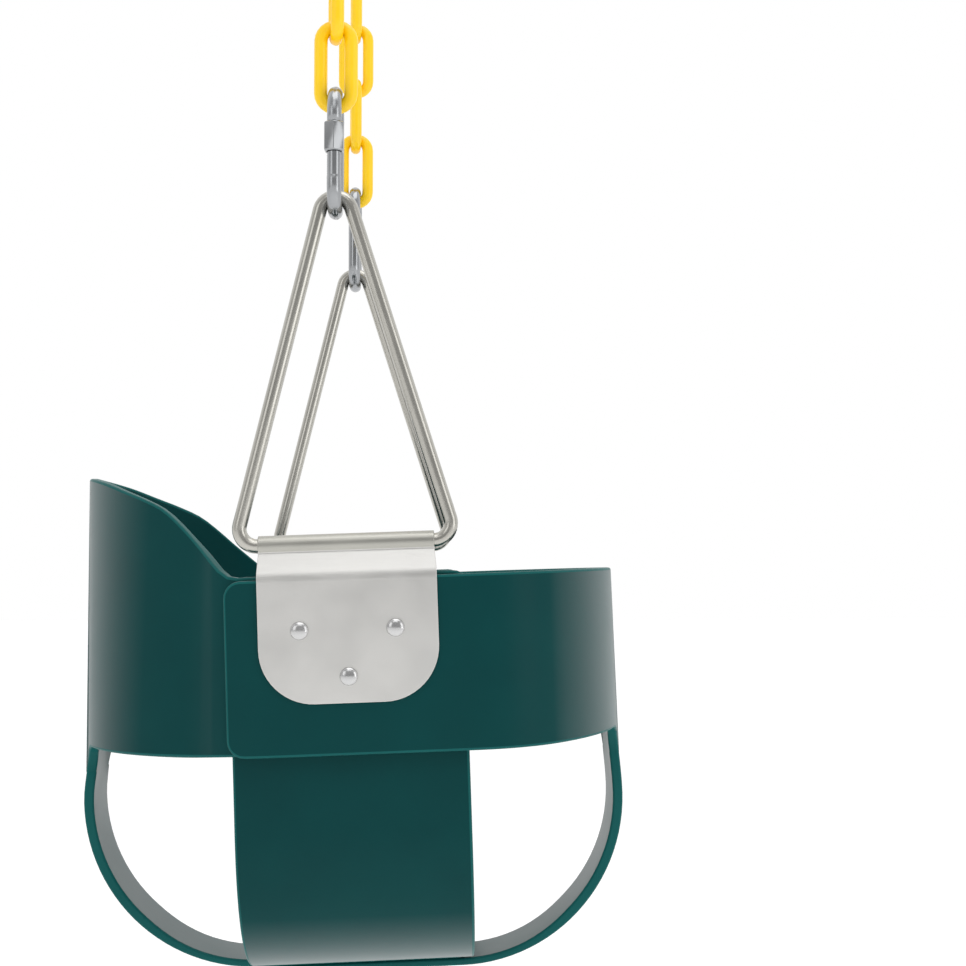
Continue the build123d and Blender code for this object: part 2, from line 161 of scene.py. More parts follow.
def steel(name, code, low, high, streak, squeeze, depth):
    """low and high are the roughness limits. streak and squeeze set the marks, depth how deep they look."""
    m, tree, shader, place = finish_of(name, Metallic=1.0, Roughness=(low + high) / 2)
    turn = add(tree, "ShaderNodeMapping", {"Scale": squeeze}, Vector=place)
    lines = add(tree, "ShaderNodeTexNoise", {"Scale": streak, "Detail": 3.0}, Vector=turn.outputs["Vector"])
    haze_and_painted_reflection = add(tree, "ShaderNodeTexNoise", {"Scale": 35.0, "Detail": 2.0}, Vector=place)
    # The colour is darkened in slow patches by the same noise that varies the roughness: painted
    # reflections.
    tone = add(tree, "ShaderNodeMix", {"data_type": "RGBA"})
    tone.inputs[6].default_value = tuple(DARKER_PAINTED_REFLECTION * c for c in linear(code)[:3]) + (1.0,)
    tone.inputs[7].default_value = linear(code)
    spread = add(tree, "ShaderNodeMapRange", {"From Min": 0.3, "From Max": 0.6}, Value=haze_and_painted_reflection.outputs["Fac"])
    tree.links.new(spread.outputs["Result"], tone.inputs["Factor"])
    tree.links.new(tone.outputs[2], shader.inputs["Base Color"])
    both = add(tree, "ShaderNodeMath", {"operation": "ADD"})
    tree.links.new(lines.outputs["Fac"], both.inputs[0])
    tree.links.new(haze_and_painted_reflection.outputs["Fac"], both.inputs[1])
    rough = add(tree, "ShaderNodeMapRange",
                {"From Min": 0.6, "From Max": 1.4, "To Min": low, "To Max": high},
                Value=both.outputs["Value"])
    tree.links.new(rough.outputs["Result"], shader.inputs["Roughness"])
    bump = add(tree, "ShaderNodeBump", {"Strength": depth, "Distance": 0.00003}, Height=lines.outputs["Fac"])
    tree.links.new(bump.outputs["Normal"], shader.inputs["Normal"])
    return m


SHEET = steel("stainless sheet brushed", "#dddcd9", 0.30, 0.46, 2000.0, (0.03, 1.0, 1.0), 0.5)
# The curl's grey is darker than the sheet's: painted shade for the darker reflection in the fold.
FOLD_PAINTED_SHADE = steel("stainless sheet fold painted shade", "#b3b2ab", 0.34, 0.44, 2000.0, (0.03, 1.0, 1.0), 0.5)
WIRE = steel("stainless wire drawn", "#b9b7b0", 0.20, 0.28, 300.0, (1.0, 1.0, 0.15), 0.1)
RIVET = steel("stainless rivet struck", "#c6c6c6", 0.16, 0.28, 500.0, (1.0, 1.0, 1.0), 0.3)
ZINC = steel("steel bright zinc plated", "#a2a4a6", 0.14, 0.30, 160.0, (1.0, 1.0, 1.0), 0.25)
CORE = steel("steel zinc plated link", "#a9abad", 0.25, 0.40, 160.0, (1.0, 1.0, 1.0), 0.2)
print("metals:", [m.name for m in (SHEET, FOLD_PAINTED_SHADE, WIRE, RIVET, ZINC, CORE)])

# %% [markdown]
# **Plastisol, hot dipped.** The chain is dipped in soft vinyl, which sets to a thick yellow skin. It is
# smooth and slightly see-through at the surface, so it is given a little light below the skin, and slow
# sags 8 mm across where the skin ran before it set.

# %% Dipped plastisol
def dipped_vinyl(name, code, pale):
    m, tree, shader, place = finish_of(name, Roughness=0.33, IOR=1.52)
    shader.inputs["Subsurface Weight"].default_value = 0.1
    shader.inputs["Subsurface Radius"].default_value = (1.0, 0.75, 0.15)
    shader.inputs["Subsurface Scale"].default_value = 0.0025
    cloud = add(tree, "ShaderNodeTexNoise", {"Scale": 120.0, "Detail": 2.0}, Vector=place)
    tone = add(tree, "ShaderNodeMix", {"data_type": "RGBA"})
    tone.inputs[6].default_value = linear(code)
    tone.inputs[7].default_value = linear(pale)
    tree.links.new(cloud.outputs["Fac"], tone.inputs["Factor"])
    tree.links.new(tone.outputs[2], shader.inputs["Base Color"])
    bump = add(tree, "ShaderNodeBump", {"Strength": 0.35, "Distance": 0.0005}, Height=cloud.outputs["Fac"])
    tree.links.new(bump.outputs["Normal"], shader.inputs["Normal"])
    return m


VINYL = dipped_vinyl("plastisol hot dipped", "#ffcd00", "#ffd406")
print("chain coat:", VINYL.name)

# %% [markdown]
# ## Helpers for pieces
# A finished bmesh becomes an object at the origin with its place in its mesh. It rides on a CAD body,
# stands for its CAD node, and takes the finish it is given.

# %% Piece helpers
def piece(name, bm, material, body, replaced=()):
    mesh = bpy.data.meshes.new(name)
    bm.to_mesh(mesh)
    bm.free()
    mesh.shade_smooth()
    mesh.materials.append(material)
    obj = bpy.data.objects.new(name, mesh)
    bpy.context.scene.collection.objects.link(obj)
    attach(obj, body)
    if replaced:
        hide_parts(*replaced)
    return obj


def edge_round(obj, width, segments=3, angle=40):
    bevel = obj.modifiers.new("rounded edges", "BEVEL")
    bevel.width = width
    bevel.segments = segments
    bevel.limit_method = "ANGLE"
    bevel.angle_limit = radians(angle)
    bevel.use_clamp_overlap = False
    bevel.harden_normals = True


def is_edge(item):
    return isinstance(item, bmesh.types.BMEdge)


def follow(bm, edges, legs, steps=10):
    """Draws a ring of edges along straight runs (a vector) and turns (centre, axis, angle)."""
    for leg in legs:
        if len(leg) == 3 and isinstance(leg[0], tuple):
            centre, axis, angle = leg
            made = bmesh.ops.spin(bm, geom=edges, cent=centre, axis=axis, angle=angle, steps=steps)
            edges = [e for e in made["geom_last"] if is_edge(e)]
        else:
            made = bmesh.ops.extrude_edge_only(bm, edges=edges)["geom"]
            bmesh.ops.translate(bm, vec=leg, verts=[v for v in made if isinstance(v, bmesh.types.BMVert)])
            edges = [e for e in made if is_edge(e) and all(v in made for v in e.verts)]
    return edges


print("helpers for pieces are ready")

# %% [markdown]
# ## Moulded panels
# Each panel is one sheet of EVA about 6 mm thick. The sizes are in the seat's own frame: X runs to the
# front, and heights are measured from the triangle's base wire. A strap is thinner than the band it leaves.

# %% Sizes of the seat, in metres
LAYER = 6.0 * MM
SEAT_HALF = HANG + 1.5 * LAYER
BAND_TOP = -18.7 * MM
BAND_LOW = -114.6 * MM
BACK_LOW = -114.3 * MM
INNER_TOP = BAND_TOP + 2 * MM
WING_END = 67.5 * MM
SIDE_STRAP_HALF = 65.2 * MM
SIDE_STRAP_MID = -1.0 * MM
STRAP_HALF = 20.5 * MM
STRAP_LOW = -255.2 * MM
STRAP_T = 4.4 * MM
BORDER = 2.6 * MM
CUT = 6.0 * MM
SEAT_TURN = 88.0 * MM
BAND_CORNER = 9.5 * MM
LEG_CORNER = 16.0 * MM
TIP_CORNER = 6.0 * MM
SEAT_MIDDLE = Vector((0, 0, -60 * MM))
print("half width in mm:", round(SEAT_HALF / MM, 1), "band height:", round((BAND_TOP - BAND_LOW) / MM, 1))

# %% [markdown]
# A sheet can be drawn flat, like a dressmaker's pattern, and then bent. The pattern is one face with rounded
# corners and a strap. A narrow border is inset so that the edge can be rounded cleanly, and cuts are made
# wherever the sheet will bend.

# %% Flat patterns
def flat_pattern(half_width, low, high, tail=0.0, corner=BAND_CORNER, border=BORDER, segments=6):
    """A flat band with rounded ends, and a strap (the tail) from the middle of its lower edge."""
    bm = bmesh.new()
    bmesh.ops.create_grid(bm, x_segments=1, y_segments=1, size=0.5)
    bmesh.ops.scale(bm, vec=(2 * half_width, high - low, 1), verts=bm.verts)
    bmesh.ops.translate(bm, vec=(0, (low + high) / 2, 0), verts=bm.verts)
    ends = list(bm.verts)
    if tail:
        for x in (-STRAP_HALF, STRAP_HALF):
            bmesh.ops.bisect_plane(bm, geom=bm.verts[:] + bm.edges[:] + bm.faces[:], plane_co=(x, 0, 0),
                                   plane_no=(1, 0, 0))
        root = [e for e in bm.edges
                if all(v.co.y < low + CUT and abs(v.co.x) < STRAP_HALF + CUT for v in e.verts)]
        inner = [v for e in root for v in e.verts]
        made = bmesh.ops.extrude_edge_only(bm, edges=root)["geom"]
        bmesh.ops.translate(bm, vec=(0, -tail, 0),
                            verts=[v for v in made if isinstance(v, bmesh.types.BMVert)])
        bmesh.ops.dissolve_faces(bm, faces=bm.faces[:])
        upper = [v for v in bm.verts if abs(v.co.y - high) < MM and abs(abs(v.co.x) - STRAP_HALF) < MM]
        bmesh.ops.dissolve_verts(bm, verts=upper)
        bmesh.ops.bevel(bm, geom=inner, offset=LEG_CORNER, affect="VERTICES", segments=7, profile=0.5,
                        material=-1)
        tips = [v for v in bm.verts if v.co.y < low - tail + MM]
        bmesh.ops.bevel(bm, geom=tips, offset=TIP_CORNER, affect="VERTICES", segments=4, profile=0.5,
                        material=-1)
    bmesh.ops.bevel(bm, geom=ends, offset=corner, affect="VERTICES", segments=segments, profile=0.5,
                    material=-1)
    bmesh.ops.inset_region(bm, faces=bm.faces[:], thickness=border, use_even_offset=True)
    return bm


def cut_across(bm, axis, places):
    """Cuts the pattern at each place along an axis, 0 for its length and 1 for its height."""
    for place in places:
        point = [0, 0, 0]
        point[axis] = place
        normal = [0, 0, 0]
        normal[axis] = 1
        bmesh.ops.bisect_plane(bm, geom=bm.verts[:] + bm.edges[:] + bm.faces[:], plane_co=point,
                               plane_no=normal)


def steps_between(start, end, step):
    count = max(1, round(abs(end - start) / step))
    return [start + (end - start) * i / count for i in range(count + 1)]


print("a pattern is cut every", round(CUT / MM), "mm where it bends")

# %% [markdown]
# Seen from above, a panel is half an oval: a nose, two corners of another radius and two straight wings. The
# function returned here turns a distance along the pattern into a place on that line. A strap has a line of
# its own: it runs down, turns under in a quarter circle and goes on level.

# %% The line of a panel seen from above, and of a strap
def plan_line(end, nose_r, side_r, half):
    """The line's function, and half its length. The nose may be wider or tighter than the corners."""
    dy = half - side_r
    k = 1 if nose_r > side_r else -1
    dx = k * sqrt((nose_r - side_r) ** 2 - dy ** 2)
    turn = atan2(k * dy, k * dx)
    nose = nose_r * turn
    side = side_r * (pi / 2 - turn)
    start = end - nose_r + dx

    def place(s):
        d = abs(s)
        if d < nose:
            x, y = end - nose_r + nose_r * cos(d / nose_r), nose_r * sin(d / nose_r)
        elif d < nose + side:
            a = turn + (d - nose) / side_r
            x, y = start + side_r * cos(a), dy + side_r * sin(a)
        else:
            x, y = start - (d - nose - side), half
        return x, y if s > 0 else -y

    return place, nose + side + start + WING_END


def strap_line(end, top, r, t):
    """Where the strap is after a length t below the height at which it starts to curl under."""
    quarter = r * pi / 2
    if t < quarter:
        return end - r + r * cos(t / r), top - r * sin(t / r)
    return end - r - (t - quarter), top - r


print("panel lines are ready")

# %% [markdown]
# Behind the plates the back pulls every layer round with it, so the ends of the other layers follow the
# back's line. Thickness and the soft edge are left to modifiers. The edge that they make is given the
# matt edge material, whose paler teal is a painted highlight.

# %% What every layer shares
BACK_PLAN = (165.2 * MM, 100 * MM, 130 * MM, SEAT_HALF - LAYER)
BEND_AT = 37.7 * MM
SHEET_EDGE = 1.5 * MM


def drawn_in(x):
    """How far the back part of every layer has come in beside the plates, as the back pulls it round."""
    run = max(0.0, -x - BEND_AT)
    return BACK_PLAN[2] - sqrt(BACK_PLAN[2] ** 2 - run ** 2)


def ease(low, high, x):
    """0 below low, 1 above high and smooth between them."""
    k = max(0.0, min(1.0, (x - low) / (high - low)))
    return k * k * (3 - 2 * k)


def thicken(obj, thickness, band=None):
    """Gives a sheet its thickness. Where the weights in band fall to nothing it is as thin as a strap."""
    solid = obj.modifiers.new("sheet thickness", "SOLIDIFY")
    solid.thickness = thickness
    solid.offset = -1
    solid.use_even_offset = True
    # Rims and rounded edges take the paler edge material: a painted highlight.
    obj.data.materials.append(EDGE_PAINTED_HIGHLIGHT)
    solid.material_offset_rim = 1
    if band:
        group = obj.vertex_groups.new(name="band")
        for index, weight in enumerate(band):
            group.add([index], weight, "REPLACE")
        solid.vertex_group = "band"
        solid.thickness_vertex_group = STRAP_T / thickness
    edge_round(obj, SHEET_EDGE, 3, 50)
    obj.modifiers["rounded edges"].material = 1


def outward(bm, centre):
    """Faces of an open sheet turned so that they look away from a point."""
    bmesh.ops.recalc_face_normals(bm, faces=bm.faces[:])
    facing = sum((f.calc_center_median() - centre).dot(f.normal) * f.calc_area() for f in bm.faces)
    if facing < 0:
        bmesh.ops.reverse_faces(bm, faces=bm.faces[:])


print("layers start to draw in", round(BEND_AT / MM, 1), "mm behind the middle")

# %% [markdown]
# Bending moves every point of the pattern. The band goes round its line. Below the band, the strap flattens,
# goes to its own line and turns under the seat. The back panel may also be reshaped, pinched in and leant:
# REACH is how far behind the middle this starts and where it is full, and RISE is the same for its height.

# %% Bending a panel
END_CLEAR = 14.0 * MM
LEG_CLEAR = 3.2 * MM
TIP_CLEAR = 10.0 * MM
FIRST_CUT = 8.0 * MM
BACK_STRAP_SHORT = 8.0 * MM
REACH = (60 * MM, 88 * MM)
RISE = (-50 * MM, 45 * MM)
THINNING = 30 * MM


def bent_panel(name, plan, front, low, strap, shape=None, top=BAND_TOP, lean=0.0, pinch=0.0):
    """strap is how far out, how low and how round the strap runs. shape gives the height of a point."""
    place, half_length = plan_line(*plan)
    end = plan[0]
    strap_x, strap_z, strap_r = strap
    curl_start = strap_z + strap_r
    under = strap_x - strap_r + (WING_END if front else WING_END - BACK_STRAP_SHORT)
    tail = low - curl_start + strap_r * pi / 2 + under
    bm = flat_pattern(half_length, low, top, tail)
    places = [x for x in steps_between(FIRST_CUT, half_length - END_CLEAR, CUT)
              if abs(x - STRAP_HALF) > LEG_CLEAR]
    cut_across(bm, 0, sorted(s * x for s in (-1, 1) for x in places) + [0.0])
    cut_across(bm, 1, steps_between(low - LEG_CORNER - MM, low - tail + TIP_CLEAR, CUT))
    side = 1 if front else -1
    band = []
    for v in bm.verts:
        s, w = v.co.x, v.co.y
        x, y = place(s)
        flat = ease(low, curl_start, w)
        z = w
        if w < low:
            if w < curl_start:
                x, z = strap_line(strap_x, curl_start, strap_r, curl_start - w)
            else:
                x += (strap_x - x) * flat
            y += (s - y) * flat
        elif shape:
            z = shape(x, w)
            y *= 1 - pinch * ease(*REACH, x) * ease(*RISE, z)
            x -= lean * (z - low) * max(0.0, min(1.0, (x - REACH[0]) / (end - REACH[0])))
        if front and x < 0:
            y -= drawn_in(x) if y > 0 else -drawn_in(x)
        v.co = (side * x, y, z)
        band.append(ease(strap_z, strap_z + THINNING, z))
    outward(bm, SEAT_MIDDLE)
    bm.transform(SEAT)
    obj = piece(name, bm, EVA, "seat")
    thicken(obj, LAYER, band)
    return obj


print("a panel can be bent")

# %% [markdown]
# The front panel is the outer layer: a band of even height, level along its top.

# %% Front panel
FRONT_PLAN = (157.7 * MM, 150 * MM, 65 * MM, SEAT_HALF)
FRONT_STRAP = (158.4 * MM, STRAP_LOW, 100.5 * MM)
front = bent_panel("front_panel_shell", FRONT_PLAN, True, BAND_LOW, FRONT_STRAP)
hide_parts("front_panel")
print("front panel faces:", len(front.data.polygons))

# %% [markdown]
# The back panel is the same kind of sheet, one layer further in, with a high back. Its top falls gently
# from the middle, rounds over a shoulder and runs out level along the wings. The points of that line are in
# millimetres, as distance behind the middle and height. The high part leans back a little and is drawn in
# from the sides.

# %% Back panel
TOP_EDGE = ((172, 48.9), (151, 42.9), (134.5, 36.3), (120, 30.3), (107.8, 23.9), (95.3, 12.9), (83.9, 1.0),
            (74.5, -9.0), (68.5, -14.5), (62.5, -16.7), (50, -16.7))


def smooth_through(points, x):
    """A smooth line through points given in order, read at x."""
    for i in range(len(points) - 1):
        (x1, y1), (x2, y2) = points[i], points[i + 1]
        if (x - x1) * (x - x2) <= 0:
            x0, y0 = points[max(i - 1, 0)]
            x3, y3 = points[min(i + 2, len(points) - 1)]
            t = (x - x1) / (x2 - x1)
            m1 = (y2 - y0) / (x2 - x0) * (x2 - x1)
            m2 = (y3 - y1) / (x3 - x1) * (x2 - x1)
            a, b = t * t, t * t * t
            return (2 * b - 3 * a + 1) * y1 + (b - 2 * a + t) * m1 + (3 * a - 2 * b) * y2 + (b - a) * m2
    return points[-1][1]


def high_back(x, w):
    top = smooth_through(TOP_EDGE, x / MM) * MM if x > 55 * MM else INNER_TOP
    return BACK_LOW + (w - BACK_LOW) * (top - BACK_LOW) / (INNER_TOP - BACK_LOW)


BACK_STRAP = (167.0 * MM, STRAP_LOW + STRAP_T, 102 * MM)
back = bent_panel("back_panel_shell", BACK_PLAN, False, BACK_LOW, BACK_STRAP, high_back, INNER_TOP,
                  lean=0.018, pinch=0.32)
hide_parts("back_panel")
print("back panel faces:", len(back.data.polygons))

# %% [markdown]
# The side strap is a plain rounded rectangle that goes down one side, under the seat and up the other. It is
# the inmost layer.

# %% Side strap
def side_strap():
    out = SEAT_HALF - 2 * LAYER
    low = STRAP_LOW + 2 * STRAP_T
    drop = INNER_TOP - (low + SEAT_TURN)
    quarter = SEAT_TURN * pi / 2
    half_length = drop + quarter + out - SEAT_TURN
    bm = flat_pattern(SIDE_STRAP_HALF, -half_length, half_length)
    level = out - SEAT_TURN
    cut_across(bm, 1, steps_between(-half_length + drop, half_length - drop, CUT))
    cut_across(bm, 0, (-40 * MM, -20 * MM, 0.0, 20 * MM, 40 * MM))
    for v in bm.verts:
        d = abs(v.co.y)
        if d < level:
            y, z = d, low
        elif d < level + quarter:
            a = (d - level) / SEAT_TURN
            y, z = level + SEAT_TURN * sin(a), low + SEAT_TURN - SEAT_TURN * cos(a)
        else:
            y, z = out, low + SEAT_TURN + d - (level + quarter)
        x = v.co.x + SIDE_STRAP_MID
        y -= drawn_in(x) * ease(low, low + SEAT_TURN, z)
        v.co = (x, y if v.co.y > 0 else -y, z)
    outward(bm, SEAT_MIDDLE)
    bm.transform(SEAT)
    return piece("side_strap_shell", bm, EVA, "seat", ("side_strap",))


strap = side_strap()
thicken(strap, LAYER)
print("side strap faces:", len(strap.data.polygons))

# %% [markdown]
# ## Hanger plates
# Each plate is one piece of 1.5 mm sheet, blanked with rounded corners, folded in half round the wire and
# nipped in below the wire, and bent out at a soft line on each side so that it clasps the panels. It is
# drawn flat and folded, as it is made. First comes the line of the folded sheet, seen from its end.

# %% The fold of a hanger plate
SHEET_T = 1.5 * MM
PLATE_HALF = 48.9 * MM
CURL_HALF = 48.2 * MM
PLATE_DROP = 86.4 * MM
CURL_R = 5.55 * MM
LEG_OUT = 1.5 * LAYER + SHEET_T
BEND_LOW = -17.2 * MM
SOFT = 3.0 * MM
CREASE = 1.2 * MM
UNDER = radians(42)


def fold_line():
    """The outer face of the folded sheet: distance from its top to (out from the wire's plane, height)."""
    start = Vector((CURL_R * cos(UNDER), -CURL_R * sin(UNDER)))
    bend = Vector((LEG_OUT, BEND_LOW))
    arc = CURL_R * (pi / 2 + UNDER)
    slope = (bend - start).length
    total = arc + slope + bend.y + PLATE_DROP

    def straight(d):
        if d < arc:
            a = pi / 2 - d / CURL_R
            return Vector((CURL_R * cos(a), CURL_R * sin(a)))
        if d < arc + slope:
            return start.lerp(bend, (d - arc) / slope)
        return bend - Vector((0, d - arc - slope))

    def place(t):
        d = abs(t)
        p = straight(d)
        for corner, at, soft in ((start, arc, CREASE), (bend, arc + slope, SOFT)):
            if abs(d - at) < soft:
                k = (d - at + soft) / (2 * soft)
                before, after = straight(at - soft), straight(at + soft)
                p = (1 - k) ** 2 * before + 2 * k * (1 - k) * corner + k * k * after
        return (p.x if t > 0 else -p.x), p.y

    return place, arc, slope, total


print("sheet from the top of the fold to the lower edge, in mm:", round(fold_line()[3] / MM, 1))

# %% [markdown]
# The blank is cut across wherever it bends, folded over that line and narrowed a touch at the curl. The
# faces of the curl take the darker grey material, painted shade for the curl's darker reflection.

# %% Hanger plates
PLATE_CORNER = 30.0 * MM
PLATE_BORDER = 1.0 * MM
PLATE_SHIFT = 0.4 * MM
NARROW_FROM = 12.0 * MM
NARROW_OVER = 8.0 * MM


def hanger_plate(side, sign):
    place, arc, slope, total = fold_line()
    bm = flat_pattern(PLATE_HALF, -total, total, corner=PLATE_CORNER, border=PLATE_BORDER, segments=14)
    ts = (steps_between(0.0, arc - CREASE, 0.7 * MM) + steps_between(arc - CREASE, arc + CREASE, 0.5 * MM)
          + steps_between(arc + slope - SOFT, arc + slope + SOFT, 1.0 * MM))
    cut_across(bm, 1, sorted({round(s * t, 7) for s in (-1, 1) for t in ts}))
    # The curl's faces take material 1, the darker grey: painted shade.
    for f in bm.faces:
        f.material_index = int(abs(f.calc_center_median().y) < arc)
    for v in bm.verts:
        narrow = max(0.0, min(1.0, (arc + NARROW_FROM - abs(v.co.y)) / NARROW_OVER))
        wide = 1 - narrow * (1 - CURL_HALF / PLATE_HALF)
        y, z = place(v.co.y)
        v.co = (v.co.x * wide, y, z)
    outward(bm, Vector((0, 0, -40 * MM)))
    bm.transform(SEAT @ Matrix.Translation((PLATE_SHIFT, sign * HANG, 0)))
    obj = piece(f"{side}_folded_plate", bm, SHEET, "seat", (f"{side}_hanger_plate",))
    obj.data.materials.append(FOLD_PAINTED_SHADE)
    solid = obj.modifiers.new("sheet thickness", "SOLIDIFY")
    solid.thickness = SHEET_T
    solid.offset = -1
    solid.use_even_offset = True
    edge_round(obj, 0.35 * MM, 2, 50)
    return obj


for side, sign in SIDES:
    made = hanger_plate(side, sign)
print("plate faces:", len(made.data.polygons))

# %% [markdown]
# ## Nuts and hooks
# Their CAD shapes are right, so a copy is merged and given a fine rounded edge, which is what catches the
# light on cut metal. The small washers and pins stay as they are and only take a finish.

# %% Copies of CAD nodes with softened edges
def softened(node, material, body, width):
    bm = bmesh.new()
    bm.from_mesh(frame["nodes"][node].data)
    bmesh.ops.remove_doubles(bm, verts=bm.verts[:], dist=0.002 * MM)
    bmesh.ops.dissolve_limit(bm, angle_limit=radians(1), verts=bm.verts[:], edges=bm.edges[:])
    obj = piece(f"{node}_edged", bm, material, body, (node,))
    edge_round(obj, width, 2, 35)
    return obj


for side, sign in SIDES:
    softened(f"{side}_quick_link_nut", ZINC, f"{side}_nut", 0.3 * MM)
    softened(f"{side}_snap_hook", ZINC, "hooks", 0.3 * MM)
    softened(f"{side}_hook_gate", ZINC, f"{side}_gate", 0.3 * MM)
    for part, finish in (("rivet_washers", RIVET), ("gate_pin", RIVET)):
        frame["nodes"][f"{side}_{part}"].data.materials.clear()
        frame["nodes"][f"{side}_{part}"].data.materials.append(finish)
print("softened copies made")

# %% [markdown]
# ## Rivets
# A struck rivet has a low dome with a thin lip. Half a flattened sphere on a short disc gives both.

# %% One rivet head
RIVETS = ((-26.0, -46.6), (26.0, -46.6), (0.0, -72.0))
BOTTOM_RIVETS = ((-45.0, -11.0), (-45.0, 11.0), (45.0, -11.0), (45.0, 11.0))
HEAD_R = 5.0 * MM
HEAD_LIP = 0.5 * MM
WASHER_T = 1.0 * MM


def head(place, height):
    """A domed head on the plane of place, which is a matrix with its Z along the shank, pointing out."""
    bm = bmesh.new()
    bmesh.ops.create_uvsphere(bm, u_segments=28, v_segments=14, radius=HEAD_R)
    bmesh.ops.scale(bm, vec=(1, 1, height / HEAD_R), verts=bm.verts)
    cut = bmesh.ops.bisect_plane(bm, geom=bm.verts[:] + bm.edges[:] + bm.faces[:], plane_co=(0, 0, 0),
                                 plane_no=(0, 0, 1), clear_inner=True)
    rim = [e for e in cut["geom_cut"] if is_edge(e)]
    made = bmesh.ops.extrude_edge_only(bm, edges=rim)["geom"]
    bmesh.ops.translate(bm, vec=(0, 0, -HEAD_LIP),
                        verts=[v for v in made if isinstance(v, bmesh.types.BMVert)])
    bm.transform(place @ Matrix.Translation((0, 0, HEAD_LIP)))
    bmesh.ops.recalc_face_normals(bm, faces=bm.faces[:])
    mesh = bpy.data.meshes.new("head")
    bm.to_mesh(mesh)
    bm.free()
    return mesh


print("rivets in each plate:", len(RIVETS), "and under the seat:", len(BOTTOM_RIVETS))

# %% [markdown]
# Each plate's rivets have a head on the outer leg and one on the washers inside. Under the seat, four rivets
# have a dome below and an almost flat head in the floor, where the child sits.

# %% Rivet heads
def rivet_piece(name, spots, material, *replaced):
    """Heads at the spots given, each a place and a height, in one piece."""
    bm = bmesh.new()
    for place, height in spots:
        mesh = head(place, height)
        bm.from_mesh(mesh)
        bpy.data.meshes.remove(mesh)
    return piece(name, bm, material, "seat", replaced)


for side, sign in SIDES:
    spots = []
    for u, w in RIVETS:
        for face, proud in ((sign, 0.0), (-sign, WASHER_T)):
            out = SEAT @ Matrix.Translation((u * MM, sign * HANG + face * (LEG_OUT + proud), w * MM))
            spots.append((out @ Matrix.Rotation(-face * pi / 2, 4, "X"), 2.4 * MM))
    rivet_piece(f"{side}_rivet_heads", spots, RIVET, f"{side}_plate_rivets")
spots = []
for u, y in BOTTOM_RIVETS:
    low = SEAT @ Matrix.Translation((u * MM, y * MM, STRAP_LOW))
    spots.append((low @ Matrix.Rotation(pi, 4, "X"), 2.0 * MM))
    floor_z = STRAP_LOW + 2 * STRAP_T + LAYER - 0.2 * MM
    spots.append((SEAT @ Matrix.Translation((u * MM, y * MM, floor_z)), 0.4 * MM))
rivet_piece("bottom_rivet_heads", spots, RIVET, "bottom_rivets", "bottom_rivet_washers")
print("rivet heads made")

# %% [markdown]
# ## Wire triangles
# A round wire is bent three times and butt welded in the middle of its base, inside the curl. A circle of
# edges is drawn along the straight runs and spun round each bend.

# %% Wire triangles
TRIANGLE_LEAN = radians(15.75)
TRIANGLE_DROP = 192.3 * MM
TRIANGLE_WIRE_R = 4.0 * MM


def triangle(side, sign):
    lean, drop = TRIANGLE_LEAN, TRIANGLE_DROP
    top_r, low_r = 9.0 * MM, 9.5 * MM
    apex = drop - top_r + top_r / sin(lean)
    corner = apex * sin(lean) / cos(lean) - low_r * (1 + sin(lean)) / cos(lean)
    leg = hypot(corner + low_r * cos(lean) - top_r * cos(lean),
                drop - top_r + top_r * sin(lean) - low_r - low_r * sin(lean))
    axis = (0, -1, 0)
    bm = bmesh.new()
    bmesh.ops.create_circle(bm, segments=20, radius=TRIANGLE_WIRE_R, matrix=Matrix.Rotation(pi / 2, 4, "Y"))
    legs = [
        (corner, 0, 0),
        ((corner, 0, low_r), axis, pi / 2 + lean),
        (-leg * sin(lean), 0, leg * cos(lean)),
        ((0, 0, drop - top_r), axis, pi - 2 * lean),
        (-leg * sin(lean), 0, -leg * cos(lean)),
        ((-corner, 0, low_r), axis, pi / 2 + lean),
        (corner, 0, 0),
    ]
    follow(bm, bm.edges[:], legs, 12)
    bmesh.ops.remove_doubles(bm, verts=bm.verts[:], dist=0.05 * MM)
    bmesh.ops.recalc_face_normals(bm, faces=bm.faces[:])
    bm.transform(SEAT @ Matrix.Translation((0, sign * HANG, 0)))
    return piece(f"{side}_wire_triangle", bm, WIRE, f"{side}_hanger",
                 (f"{side}_triangle",))


for side, sign in SIDES:
    made = triangle(side, sign)
print("triangle verts:", len(made.data.vertices))

# %% [markdown]
# ## Chain
# Every link is a rod bent to a long ring and dipped in soft vinyl. The skin is a little thicker along the
# straight sides than at the ends, where links bear on one another.

# %% The shape of a dipped link
def ring(bm, half_long, half_wide, wire_r, segments=20, steps=12):
    """A long ring of round wire in the XZ plane."""
    r = half_wide - wire_r
    s = half_long - wire_r - r
    axis = (0, -1, 0)
    start = bmesh.ops.create_circle(bm, segments=segments, radius=wire_r,
                                    matrix=Matrix.Translation((r, 0, 0)))
    edges = list({e for v in start["verts"] for e in v.link_edges})
    legs = [(0, 0, s), ((0, 0, s), axis, pi), (0, 0, -2 * s), ((0, 0, -s), axis, pi), (0, 0, s)]
    follow(bm, edges, legs, steps)
    bmesh.ops.remove_doubles(bm, verts=bm.verts[:], dist=0.05 * MM)
    bmesh.ops.recalc_face_normals(bm, faces=bm.faces[:])


def swell(bm, half_long, half_wide, wire_r, amount):
    """Thickens the coat along the straight sides and leaves it thin where links bear on one another."""
    r = half_wide - wire_r
    s = half_long - wire_r - r
    for v in bm.verts:
        middle = Vector((0, 0, max(-s, min(s, v.co.z))))
        out = Vector((v.co.x, 0, v.co.z - middle.z)).normalized()
        centre = middle + out * r
        v.co = centre + (v.co - centre) * (1 + amount * abs(out.x))


print("link shape is ready")

# %% [markdown]
# Every second link is turned a quarter, and none hangs quite square. The steel core inside each coat stays
# as the CAD has it, with a finish of its own.

